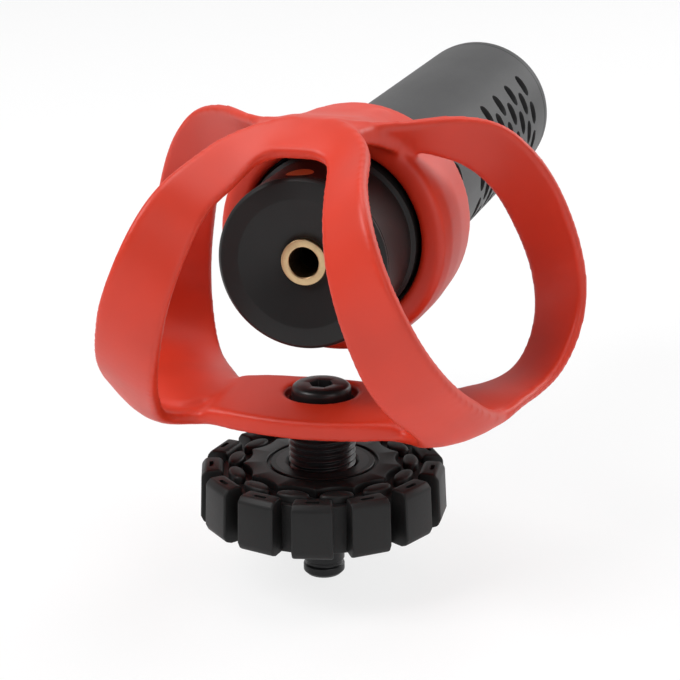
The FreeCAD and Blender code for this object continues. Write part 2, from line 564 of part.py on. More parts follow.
for nm, sgn in (("left", -1), ("right", 1)):
    save("capsule_lead_%s" % nm, cyl(0.35, k1 - (b1 - 3.0), v(sgn * 2.0, b1 - 3.0, on_board + 0.35), v(0, 1, 0)))
m0, m1 = k0 + HOLDER_L + 0.6, ye - 2.8
mesh_r = ri - MESH_T
save("acoustic_mesh", turned_mic([(mesh_r, m0), (ri, m0), (ri, m1), (mesh_r, m1)]))
foam_y = m0 + 0.3
save("foam_core", turned_mic([(0, foam_y), (mesh_r - FOAM_T, foam_y), (mesh_r - FOAM_T, m1), (0, m1)]).cut(
    cyl(FOAM_HOLE_R, 60, v(0, m0 - 5, MIC_AXIS_Z), v(0, 1, 0))))
save("foam_tube", ring(mesh_r, mesh_r - FOAM_T, m1 - foam_y, v(0, foam_y, MIC_AXIS_Z), v(0, 1, 0)))
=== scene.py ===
"""On-camera microphone in a looped elastic cradle, on a locking wheel and a foot stud.

Laid out as an add-on: sizes and colours are properties, each group of pieces has
an operator, and main() calls them in order.
"""

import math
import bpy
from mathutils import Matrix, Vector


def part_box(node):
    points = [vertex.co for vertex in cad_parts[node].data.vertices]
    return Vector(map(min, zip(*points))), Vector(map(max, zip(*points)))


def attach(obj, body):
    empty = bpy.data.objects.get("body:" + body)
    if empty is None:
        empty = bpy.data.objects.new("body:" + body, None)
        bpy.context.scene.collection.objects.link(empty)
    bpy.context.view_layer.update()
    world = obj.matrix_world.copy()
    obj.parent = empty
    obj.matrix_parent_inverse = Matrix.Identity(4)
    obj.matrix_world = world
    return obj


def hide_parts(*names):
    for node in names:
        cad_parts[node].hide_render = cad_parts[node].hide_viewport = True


bl_info = {
    "name": "Cradled Tube Microphone",
    "version": (1, 0, 0),
    "blender": (4, 5, 0),
    "location": "View3D > Sidebar > Microphone",
    "description": "Builds the finish of a tube microphone in an elastic cradle",
    "category": "Object",
}

import bmesh
import bpy
from bpy.props import FloatProperty, FloatVectorProperty, IntProperty, PointerProperty
from mathutils import Matrix, Vector

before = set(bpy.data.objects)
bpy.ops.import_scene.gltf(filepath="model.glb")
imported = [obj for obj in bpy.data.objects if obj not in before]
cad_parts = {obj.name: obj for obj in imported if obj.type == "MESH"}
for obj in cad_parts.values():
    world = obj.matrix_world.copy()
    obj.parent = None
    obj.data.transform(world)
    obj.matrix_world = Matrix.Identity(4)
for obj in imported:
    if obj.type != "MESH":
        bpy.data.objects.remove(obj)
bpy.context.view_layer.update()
MM = 0.001


# --------------------------------------------------------------------------
# where the pieces are
# --------------------------------------------------------------------------
def span(node):
    lo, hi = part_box(node)
    return Vector(lo), Vector(hi)


TUBE_LO, TUBE_HI = span("barrel_tube")
REAR_LO, REAR_HI = span("rear_cap")
FRONT_LO, FRONT_HI = span("front_cap")
JACK_LO, JACK_HI = span("jack_bushing")
NUT_LO, _ = span("jack_nut")
POST_LO, POST_HI = span("threaded_post")
SCREW_LO, SCREW_HI = span("mount_screw")
STUD_LO, STUD_HI = span("foot_stud")
TREAD_LO, TREAD_HI = span("wheel_tread")
CORE_LO, CORE_HI = span("wheel_core")
INSERT_LO, INSERT_HI = span("wheel_insert")
CLAMP_LO, CLAMP_HI = span("clamp_pad")
AXIS_Z = (TUBE_LO.z + TUBE_HI.z) / 2
BARREL_R = (TUBE_HI.x - TUBE_LO.x) / 2


# --------------------------------------------------------------------------
# sockets as values
# --------------------------------------------------------------------------
class Wire:
    """A socket in a node tree, with the arithmetic of a number."""

    def __init__(self, kit, socket):
        self.kit, self.socket = kit, socket

    def _op(self, operation, *values):
        return self.kit.value("ShaderNodeMath", {"operation": operation}, dict(enumerate(values)))

    def __add__(self, o): return self._op("ADD", self, o)
    def __radd__(self, o): return self._op("ADD", o, self)
    def __sub__(self, o): return self._op("SUBTRACT", self, o)
    def __rsub__(self, o): return self._op("SUBTRACT", o, self)
    def __mul__(self, o): return self._op("MULTIPLY", self, o)
    def __rmul__(self, o): return self._op("MULTIPLY", o, self)
    def __truediv__(self, o): return self._op("DIVIDE", self, o)
    def __neg__(self): return self._op("MULTIPLY", self, -1.0)
    def __mod__(self, o): return self._op("FLOORED_MODULO", self, o)
    def __lt__(self, o): return self._op("LESS_THAN", self, o)
    def __gt__(self, o): return self._op("GREATER_THAN", self, o)
    def floor(self): return self._op("FLOOR", self)
    def abs(self): return self._op("ABSOLUTE", self)
    def sin(self): return self._op("SINE", self)
    def root(self): return self._op("SQRT", self)
    def at_least(self, o): return self._op("MAXIMUM", self, o)
    def angle(self, o): return self._op("ARCTAN2", self, o)

    def ramp(self, lo, hi):
        """0 up to lo, 1 from hi, and an S-shaped rise between them."""
        return self.kit.value("ShaderNodeMapRange", {"interpolation_type": "SMOOTHSTEP"},
                              {0: self, 1: lo, 2: hi, 3: 0.0, 4: 1.0})


class Kit:
    """Makes nodes in one tree: their settings first, then their sockets."""

    def __init__(self, tree):
        self.tree = tree

    def node(self, kind, settings=None, sockets=None):
        n = self.tree.nodes.new(kind)
        for key, value in (settings or {}).items():
            setattr(n, key, value)
        for key, value in (sockets or {}).items():
            target = n.inputs[key]
            if isinstance(value, Wire):
                self.tree.links.new(value.socket, target)
            else:
                target.default_value = value
        return n

    def value(self, kind, settings=None, sockets=None, out=0):
        return Wire(self, self.node(kind, settings, sockets).outputs[out])

    def link(self, wire, node, name):
        self.tree.links.new(wire.socket, node.inputs[name])


class Finish(Kit):
    """A material whose one Principled shader takes its colour, roughness and bump from expressions.

    sockets holds the constants of that shader.
    """

    def __init__(self, name, sockets):
        self.material = bpy.data.materials.new(name)
        self.material.use_nodes = True
        super().__init__(self.material.node_tree)
        self.tree.nodes.clear()
        self.shader = self.node("ShaderNodeBsdfPrincipled", None, sockets)
        output = self.node("ShaderNodeOutputMaterial")
        self.link(Wire(self, self.shader.outputs[0]), output, "Surface")
        self.place = Wire(self, self.node("ShaderNodeTexCoord").outputs["Object"])
        parts = self.node("ShaderNodeSeparateXYZ", None, {0: self.place})
        self.x, self.y, self.z = (Wire(self, parts.outputs[k]) for k in range(3))

    def noise(self, size, detail=3.0, rough=0.5, stretch=None):
        """Noise of about that size in metres, from 0 to 1."""
        where = self.place
        if stretch:
            where = self.value("ShaderNodeMapping", None, {"Vector": self.place, "Scale": stretch})
        return self.value("ShaderNodeTexNoise", None,
                          {"Vector": where, "Scale": 1.0 / size, "Detail": detail, "Roughness": rough})

    def grains(self, size):
        """Rounded cells of about that size in metres."""
        return self.value("ShaderNodeTexVoronoi", {"feature": "F1"},
                          {"Vector": self.place, "Scale": 1.0 / size})

    def mix(self, amount, low, high):
        """Colour low where amount is 0 and high where it is 1."""
        return self.value("ShaderNodeMix", {"data_type": "RGBA"}, {0: amount, 6: low, 7: high}, out=2)

    def wear(self, radius):
        """1 on the edges that hands rub, from a rounded normal against the true one."""
        soft = self.value("ShaderNodeBevel", {"samples": 6}, {"Radius": radius})
        true = Wire(self, self.node("ShaderNodeNewGeometry").outputs["Normal"])
        dot = self.value("ShaderNodeVectorMath", {"operation": "DOT_PRODUCT"},
                         {0: soft, 1: true}, out=1)
        return (1.0 - dot).ramp(0.02, 0.25)

    def finish(self, colour, roughness, bump=None, depth=0.0, strength=1.0):
        self.link(colour, self.shader, "Base Color")
        self.link(roughness, self.shader, "Roughness")
        if bump is not None:
            relief = self.value("ShaderNodeBump", None,
                                {"Strength": strength, "Distance": depth, "Height": bump})
            self.link(relief, self.shader, "Normal")
        return self.material


def rgb(colour, k=1.0):
    """The colour k times as strong, with its alpha."""
    return (colour[0] * k, colour[1] * k, colour[2] * k, 1.0)


# --------------------------------------------------------------------------
# finishes
# --------------------------------------------------------------------------
BARE_METAL = (0.20, 0.20, 0.20)
BARE_STEEL = (0.16, 0.16, 0.17)
COPPER_UNDER_MASK = (0.10, 0.30, 0.12)


def soft_red(c):
    """Smooth rubber that lets a little light in at its edges."""
    f = Finish("cradle elastomer", {"Specular IOR Level": 0.5, "Subsurface Weight": 0.08,
                                    "Subsurface Radius": (1.0, 0.25, 0.15), "Subsurface Scale": 0.9 * MM})
    cloud = f.noise(11 * MM, 2.0)
    fine = f.noise(0.35 * MM, 2.0, 0.6)
    colour = f.mix(cloud.ramp(0.3, 0.7), rgb(c, 0.94), rgb(c, 1.05))
    skin = fine * 0.6 + f.grains(0.22 * MM) * 0.4
    return f.finish(colour, 0.40 + 0.07 * cloud + 0.05 * fine, skin, 0.012 * MM, 0.35)


def satin_paint(name, c, low, spread, grain=0.16, back=None, turn=0.0):
    """Powder-like dark finish on metal, with a fine grain and faint handling marks.

    The colour is c, and back where y is less than turn: back is a painted shade, darker towards the rear.
    """
    f = Finish(name, {"Metallic": 0.15, "Specular IOR Level": 0.3})
    cloud = f.noise(9 * MM, 3.0)
    fine = f.noise(grain * MM, 2.0, 0.7)
    rub = f.noise(2.2 * MM, 4.0, 0.6, (1.0, 0.25, 1.0))
    colour = f.mix(cloud.ramp(0.3, 0.75), rgb(c, 0.92), rgb(c, 1.08))
    # painted shade: back is painted below y = turn, where the cradle shades the barrel
    if back:
        colour = f.mix(f.y.ramp(turn - 3 * MM, turn + 3 * MM), rgb(back), colour)
    edge = f.wear(0.25 * MM)
    colour = f.mix(edge * 0.35, colour, rgb(BARE_METAL))
    return f.finish(colour, low + spread * fine + 0.06 * rub, fine, 0.010 * MM, 0.5)


def soft_black(name, c, rough):
    """Dull black rubber, paler where it is rubbed."""
    f = Finish(name, {"Specular IOR Level": 0.3})
    cloud = f.noise(4 * MM, 3.0)
    fine = f.noise(0.25 * MM, 3.0, 0.6)
    colour = f.mix(f.wear(0.3 * MM) * 0.30 + cloud * 0.15, rgb(c), rgb(c, 2.4))
    return f.finish(colour, rough + 0.10 * fine, fine, 0.02 * MM, 0.45)


def black_oxide(c):
    """Blackened steel with turning marks about Z and bare edges."""
    f = Finish("black oxide steel", {"Metallic": 0.3, "Specular IOR Level": 0.5})
    cloud = f.noise(3 * MM, 3.0)
    radius = (f.x * f.x + f.y * f.y).root()
    turned = (radius * (2 * math.pi / (0.12 * MM))).sin()
    colour = f.mix(f.wear(0.15 * MM) * 0.6, rgb(c), rgb(BARE_STEEL))
    return f.finish(colour, 0.26 + 0.14 * cloud, turned * 0.3 + f.noise(0.3 * MM), 0.006 * MM, 0.4)


def turned_brass(name, c, rough):
    """Brass with turning marks about the microphone's axis and faint stains."""
    f = Finish(name, {"Metallic": 1.0})
    dz = f.z - AXIS_Z
    radius = (f.x * f.x + dz * dz).root()
    rings = (radius * (2 * math.pi / (0.16 * MM))).sin()
    stain = f.noise(1.6 * MM, 4.0, 0.6)
    colour = f.mix(stain.ramp(0.35, 0.75), rgb(c), rgb(c, 0.82))
    return f.finish(colour, rough + 0.12 * stain, rings, 0.006 * MM, 0.3)


def woven_mesh(c):
    """Fine woven wire: two sets of threads round and along the barrel."""
    f = Finish("woven mesh", {"Metallic": 0.6, "Specular IOR Level": 0.4})
    dz = f.z - AXIS_Z
    sleeve_r, weave = 9.3 * MM, 0.42 * MM
    around = dz.angle(f.x) * sleeve_r
    k = 2 * math.pi / weave
    warp, weft = (around * k).sin(), (f.y * k).sin()
    over = (warp * weft).ramp(-1.0, 1.0)
    height = warp.abs() * over + weft.abs() * (1.0 - over)
    # painted shade and highlight: the threads darker where they dip under the others and paler on their crowns
    colour = f.mix(height, rgb(c, 0.35), rgb(c, 1.6))
    return f.finish(colour, 0.45 - 0.12 * height, height, 0.06 * MM, 0.9)


def open_foam(c):
    """Dark open cells, with painted shade in their hollows."""
    f = Finish("acoustic foam", {"Specular IOR Level": 0.2, "Sheen Weight": 0.2})
    cells = f.grains(0.7 * MM)
    # painted shade: the cells darker in their hollows and paler on their rims
    colour = f.mix(cells.ramp(0.1, 0.7), rgb(c, 0.4), rgb(c, 1.5))
    return f.finish(colour, 0.85 + 0.1 * cells, cells, 0.25 * MM, 0.9)


def moulded_plastic(name, c, rough):
    """Fine-grained moulded surface."""
    f = Finish(name, {"Specular IOR Level": 0.3})
    cloud, fine = f.noise(5 * MM, 2.0), f.noise(0.2 * MM, 2.0)
    colour = f.mix(cloud, rgb(c, 0.9), rgb(c, 1.12))
    return f.finish(colour, rough + 0.08 * fine, fine, 0.01 * MM, 0.4)


def board_mask(c):
    """Solder mask with copper runs showing faintly under it."""
    f = Finish("board laminate", {"Specular IOR Level": 0.5, "Coat Weight": 0.3, "Coat Roughness": 0.2})
    cell = 1.1 * MM
    run = ((f.y * 1.0 + (f.x / (3 * cell)).floor() * cell) % cell - cell / 2).abs() < 0.18 * MM
    run = run * (f.noise(4 * MM, 0.0) > 0.5)
    colour = f.mix(run, rgb(c), rgb(COPPER_UNDER_MASK))
    return f.finish(colour, 0.35 + 0.1 * f.noise(1 * MM), run, 0.03 * MM, 0.5)


def drawn_can(c):
    """Bare aluminium with the marks of drawing along Y."""
    f = Finish("drawn aluminium can", {"Metallic": 1.0})
    brush = f.noise(0.5 * MM, 3.0, 0.6, (6.0, 0.4, 6.0))
    colour = f.mix(brush, rgb(c, 0.85), rgb(c))
    return f.finish(colour, 0.28 + 0.14 * brush, brush, 0.008 * MM, 0.4)


def floor_paper():
    """Pale sweep: white to the eye, keeping only the object's soft shadow."""
    f = Finish("studio sweep", {"Specular IOR Level": 0.1})
    grain = f.noise(30 * MM, 2.0)
    colour = f.mix(grain, rgb((0.93, 0.93, 0.935)), rgb((0.95, 0.95, 0.955)))
    return f.finish(colour, 0.9 - 0.05 * grain)


# --------------------------------------------------------------------------
# meshes
# --------------------------------------------------------------------------
def new_object(name, mesh):
    ob = bpy.data.objects.new(name, mesh)
    bpy.context.scene.collection.objects.link(ob)
    return ob


def mesh_of(bm, name):
    """The bmesh as a mesh with that name."""
    mesh = bpy.data.meshes.new(name)
    bm.to_mesh(mesh)
    bm.free()
    return mesh


def smooth_by_angle(mesh, degrees):
    """Smooth shading, with a sharp edge where two faces turn by more than the angle."""
    mesh.shade_smooth()
    mesh.set_sharp_from_angle(angle=math.radians(degrees))


def rounded(profile, radius, steps=3, closed=True):
    """The profile with each corner replaced by a short arc of about that radius."""
    pts = [Vector(p) for p in profile]
    out = []
    n = len(pts)
    for i, p in enumerate(pts):
        if not closed and i in (0, n - 1):
            out.append(tuple(p))
            continue
        a, b = pts[i - 1], pts[(i + 1) % n]
        da, db = a - p, b - p
        cut = min(radius, da.length * 0.45, db.length * 0.45)
        if cut < 1e-7 or da.length < 1e-9 or db.length < 1e-9:
            out.append(tuple(p))
            continue
        s, e = p + da.normalized() * cut, p + db.normalized() * cut
        for k in range(steps + 1):
            t = k / steps
            out.append(tuple((s * (1 - t) + p * t) * (1 - t) + (p * (1 - t) + e * t) * t))
    return out


def lathe(name, profile, segments=128, shape=None, closed=True):
    """Solid of revolution about Z from (radius, height) pairs.

    shape(angle, radius, k), where k counts the pairs, gives a point another radius.
    """
    bm = bmesh.new()
    rings = []
    for k, (r, h) in enumerate(profile):
        if r < 1e-9:
            rings.append([bm.verts.new((0, 0, h))])
            continue
        ring = []
        for s in range(segments):
            a = 2 * math.pi * s / segments
            rr = shape(a, r, k) if shape else r
            ring.append(bm.verts.new((rr * math.cos(a), rr * math.sin(a), h)))
        rings.append(ring)
    pairs = list(zip(rings, rings[1:]))
    if closed:
        pairs.append((rings[-1], rings[0]))
    for lower, upper in pairs:
        if len(lower) == 1 and len(upper) == 1:
            continue
        for s in range(segments):
            t = (s + 1) % segments
            if len(lower) == 1:
                bm.faces.new((lower[0], upper[t], upper[s]))
            elif len(upper) == 1:
                bm.faces.new((lower[s], lower[t], upper[0]))
            else:
                bm.faces.new((lower[s], lower[t], upper[t], upper[s]))
    bmesh.ops.recalc_face_normals(bm, faces=bm.faces)
    return mesh_of(bm, name)


def prism(name, first, last):
    """Solid between two outlines that have the same number of points."""
    bm = bmesh.new()
    low = [bm.verts.new(p) for p in first]
    high = [bm.verts.new(p) for p in last]
    bm.faces.new(low)
    bm.faces.new(list(reversed(high)))
    for k in range(len(low)):
        j = (k + 1) % len(low)
        bm.faces.new((low[j], low[k], high[k], high[j]))
    bmesh.ops.recalc_face_normals(bm, faces=bm.faces)
    return mesh_of(bm, name)


def along_mic(mesh):
    """Turns a mesh made about Z so that its height runs forward on the microphone's axis."""
    mesh.transform(Matrix.Translation((0, 0, AXIS_Z)) @ Matrix.Rotation(math.radians(-90), 4, "X"))
    return mesh


def settled(ob):
    """The object's evaluated shape as a plain mesh, with its modifiers gone."""
    deps = bpy.context.evaluated_depsgraph_get()
    mesh = bpy.data.meshes.new_from_object(ob.evaluated_get(deps))
    ob.modifiers.clear()
    old, ob.data = ob.data, mesh
    if old.users == 0:
        bpy.data.meshes.remove(old)
    mesh.name = ob.name
    return ob


def merged_copy(node):
    """A welded copy of a CAD node's mesh."""
    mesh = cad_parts[node].data.copy()
    bm = bmesh.new()
    bm.from_mesh(mesh)
    bmesh.ops.remove_doubles(bm, verts=bm.verts, dist=1e-6)
    bm.to_mesh(mesh)
    bm.free()
    mesh.materials.clear()
    return mesh


def put(ob, material, body, slot, *nodes):
    """Gives a finished piece its material and its body, and hides the CAD nodes it stands for. The slot is not
    used.
    """
    ob.data.materials.clear()
    ob.data.materials.append(material)
    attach(ob, body)
    if nodes:
        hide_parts(*nodes)


def cut_with(ob, tool):
    """Takes the tool's shape out of the object and removes the tool."""
    mod = ob.modifiers.new("cut", "BOOLEAN")
    mod.operation, mod.object, mod.solver = "DIFFERENCE", tool, "EXACT"
    settled(ob)
    bpy.data.objects.remove(tool)


def bevelled(ob, width, segments, degrees):
    """Rounds the edges that turn by more than the angle."""
    bevel = ob.modifiers.new("edge", "BEVEL")
    bevel.width, bevel.segments = width, segments
    bevel.limit_method, bevel.angle_limit = "ANGLE", math.radians(degrees)
    settled(ob)


# --------------------------------------------------------------------------
# repeats
# --------------------------------------------------------------------------
def geometry_tree(name, inputs):
    """A tree that takes a mesh and the inputs, with its kit and its inputs as wires."""
    tree = bpy.data.node_groups.new(name, "GeometryNodeTree")
    face = tree.interface
    face.new_socket(name="Geometry", in_out="INPUT", socket_type="NodeSocketGeometry")
    for label, kind, value in inputs:
        s = face.new_socket(name=label, in_out="INPUT", socket_type=kind)
        s.default_value = value
    face.new_socket(name="Geometry", in_out="OUTPUT", socket_type="NodeSocketGeometry")
    kit = Kit(tree)
    start = kit.node("NodeGroupInput")
    wires = {s.name: Wire(kit, s) for s in start.outputs if s.name}
    return tree, kit, wires


def end_tree(kit, geometry, material):
    """Ends the tree with real copies that carry the material."""
    real = kit.value("GeometryNodeRealizeInstances", None, {0: geometry})
    paint = kit.node("GeometryNodeSetMaterial", None, {"Geometry": real})
    paint.inputs["Material"].default_value = material
    out = kit.node("NodeGroupOutput")
    kit.link(Wire(kit, paint.outputs[0]), out, 0)


def grow(ob, tree, values):
    """Runs a tree on an object with these inputs and leaves the plain result."""
    mod = ob.modifiers.new("repeat", "NODES")
    mod.node_group = tree
    for item in tree.interface.items_tree:
        if item.item_type == "SOCKET" and item.in_out == "INPUT" and item.name in values:
            mod[item.identifier] = values[item.name]
    return settled(ob)


def ring_tree(material):
    """Copies of the input mesh turned about Z at even steps."""
    tree, kit, w = geometry_tree("ring of copies", [
        ("Count", "NodeSocketInt", 13), ("Start", "NodeSocketFloat", 0.0)])
    line = kit.value("GeometryNodeMeshLine", {"mode": "OFFSET"},
                     {"Count": w["Count"], "Offset": (0.0, 0.0, 0.0)})
    index = kit.value("GeometryNodeInputIndex")
    turn = kit.value("ShaderNodeCombineXYZ", None, {2: w["Start"] + index * (2 * math.pi) / w["Count"]})
    copies = kit.value("GeometryNodeInstanceOnPoints", None,
                       {"Points": line, "Instance": w["Geometry"], "Rotation": turn})
    end_tree(kit, copies, material)
    return tree


def slot_tree(material):
    """Staggered rows of the input mesh round both sides of a barrel that lies along Y."""
    tree, kit, w = geometry_tree("staggered slots", [
        ("Rows", "NodeSocketInt", 7), ("Columns", "NodeSocketInt", 5), ("Short rows", "NodeSocketInt", 2),
        ("Pitch", "NodeSocketFloat", 7.4 * MM), ("First", "NodeSocketFloat", 0.0),
        ("Top angle", "NodeSocketFloat", 0.6), ("Row step", "NodeSocketFloat", 0.2)])
    each = w["Rows"] * w["Columns"]
    line = kit.value("GeometryNodeMeshLine", {"mode": "OFFSET"},
                     {"Count": each * 2.0, "Offset": (0.0, 0.0, 0.0)})
    index = kit.value("GeometryNodeInputIndex")
    side = (index / each).floor()
    here = index - side * each
    row = (here / w["Columns"]).floor()
    col = here - row * w["Columns"]
    stagger = (row % 2.0) * 0.5
    y = w["First"] - w["Pitch"] * (col + stagger)
    angle = w["Top angle"] - w["Row step"] * row
    facing = side * math.pi + (1.0 - 2.0 * side) * angle
    keep = 1.0 - (col > (w["Columns"] - 1.5)) * (row < (w["Short rows"] - 0.5))
    place = kit.value("ShaderNodeCombineXYZ", None, {1: y})
    points = kit.value("GeometryNodeSetPosition", None, {"Geometry": line, "Position": place})
    turn = kit.value("ShaderNodeCombineXYZ", None, {1: -facing})
    copies = kit.value("GeometryNodeInstanceOnPoints", None,
                       {"Points": points, "Selection": keep > 0.5, "Instance": w["Geometry"], "Rotation": turn})
    end_tree(kit, copies, material)
    return tree


# --------------------------------------------------------------------------
# sizes and colours
# --------------------------------------------------------------------------
def length(name, text, mm):
    return FloatProperty(name=name, description=text, default=mm * MM,
                         unit="LENGTH", subtype="DISTANCE", precision=5)


def angle(name, text, degrees):
    return FloatProperty(name=name, description=text, default=math.radians(degrees), subtype="ANGLE")


def count(name, text, number, least):
    return IntProperty(name=name, description=text, default=number, min=least)


def tint(name, text, colour):
    return FloatVectorProperty(name=name, description=text, default=colour, size=3,
                               min=0.0, max=1.0, subtype="COLOR")


class CradleSettings(bpy.types.PropertyGroup):
    colour: tint("Elastomer", "Colour of the red moulding", (0.62, 0.031, 0.008))
    grain: length("Surface step", "Step of the skin that rounds the moulding's edges", 0.31)
    passes: count("Rounding passes", "How far the moulding's edges are rounded", 4, 0)
    blend: count("Blend passes", "How far its joins flow together", 26, 0)
    liner: tint("Liner", "Colour of the grip ring in the collar", (0.012, 0.012, 0.012))


class BarrelSettings(bpy.types.PropertyGroup):
    colour: tint("Barrel", "Colour of the barrel and its front", (0.050, 0.050, 0.051))
    # The rear colour is also painted on the barrel behind the colour turn, as painted shade.
    rear: tint("Rear", "Colour of the dished rear end", (0.014, 0.014, 0.014))
    mark: tint("Index mark", "Colour of the plain inlay", (0.70, 0.34, 0.13))
    brass: tint("Jack ring", "Colour of the jack's ring", (0.60, 0.43, 0.24))
    wall: length("Wall", "Barrel wall", 1.2)
    slot_length: length("Slot length", "Round the barrel", 3.4)
    slot_width: length("Slot width", "Along the barrel", 2.6)
    slot_pitch: length("Slot pitch", "Along the barrel within a row", 7.4)
    slot_first: length("First slot", "From the front face to the first row", 10.2)
    rows: count("Rows", "Rows of slots down each side", 7, 1)
    columns: count("Slots in a row", "Slots in the long rows", 5, 1)
    short_rows: count("Short rows", "Rows at the top with one slot less", 2, 0)
    top_angle: angle("Top row", "Angle up from the side", 35.0)
    row_step: angle("Row step", "Angle between staggered rows", 11.7)
    rear_slot: length("Rear slot", "Place of the single rear slot along the barrel", 27.2)
    rear_slot_angle: angle("Rear slot angle", "Angle of the single rear slot up from the side", 17.0)
    dish: length("Dish", "Depth of the hollow in the rear end", 1.6)
    rim: length("Rear rim", "Flat band round the hollow", 2.5)
    slim: length("Slim end", "Length of the slimmer rear end", 10.5)
    step: length("Slim step", "How much slimmer the rear end is, on the radius", 0.45)
    jack_bore: length("Jack bore", "Radius of the jack's hole", 1.77)
    # painted shade: behind this point the barrel is painted the rear end's darker colour, for the shade under the
    # cradle
    painted_shade_turn: length("Colour turn", "Where the rear end's colour gives way to the barrel's", 11.0)


class WheelSettings(bpy.types.PropertyGroup):
    rubber: tint("Tread", "Colour of the wheel's soft rim", (0.008, 0.008, 0.008))
    plastic: tint("Hub", "Colour of the wheel's disc", (0.006, 0.006, 0.006))
    steel: tint("Steel", "Colour of the post, the screw and the stud", (0.018, 0.018, 0.019))
    teeth: count("Blocks", "Blocks round the rim", 13, 3)
    first: angle("First block", "Angle of the block nearest the back", -77.8)
    gap: length("Gap", "Between two blocks", 2.1)
    gap_floor: length("Gap floor", "Radius of the floor between blocks", 12.2)
    drop: length("Rim drop", "Floor between the disc and the blocks, below their tops", 1.1)
    star: length("Star", "Radius of the disc's points", 9.6)
    valley: length("Valley", "Radius of the disc between its points", 8.75)
    stem: length("Stem", "Radius of the disc's hub in the soft rim", 8.3)
    pad_place: length("Pad place", "Radius to the middle of the small pads", 10.55)
    pad_long: length("Pad length", "Round the wheel", 4.0)
    pad_wide: length("Pad width", "Outwards", 1.9)
    pitch: length("Thread pitch", "Rise of the thread in one turn", 0.75)
    depth: length("Thread depth", "Depth of the thread", 0.36)
    groove: length("Groove", "Radius of the round groove in the disc", 6.46)
    recess: length("Recess", "Depth of the recess that holds the clamp pad", 1.25)


class StageSettings(bpy.types.PropertyGroup):
    azimuth: angle("Azimuth", "Camera's turn to the object's right", 16.95)
    elevation: angle("Elevation", "Camera's height above the horizon", 17.80)
    roll: angle("Roll", "Camera's roll", -0.75)
    place: FloatVectorProperty(name="Camera place", description="Where the camera stands", size=3,
                               default=(0.07088, -0.22475, 0.10515), subtype="TRANSLATION")
    lens: FloatProperty(name="Lens", description="Focal length in mm", default=111.46, min=10.0)


# --------------------------------------------------------------------------
# pieces
# --------------------------------------------------------------------------
class Maker:
    bl_options = {"REGISTER", "UNDO"}


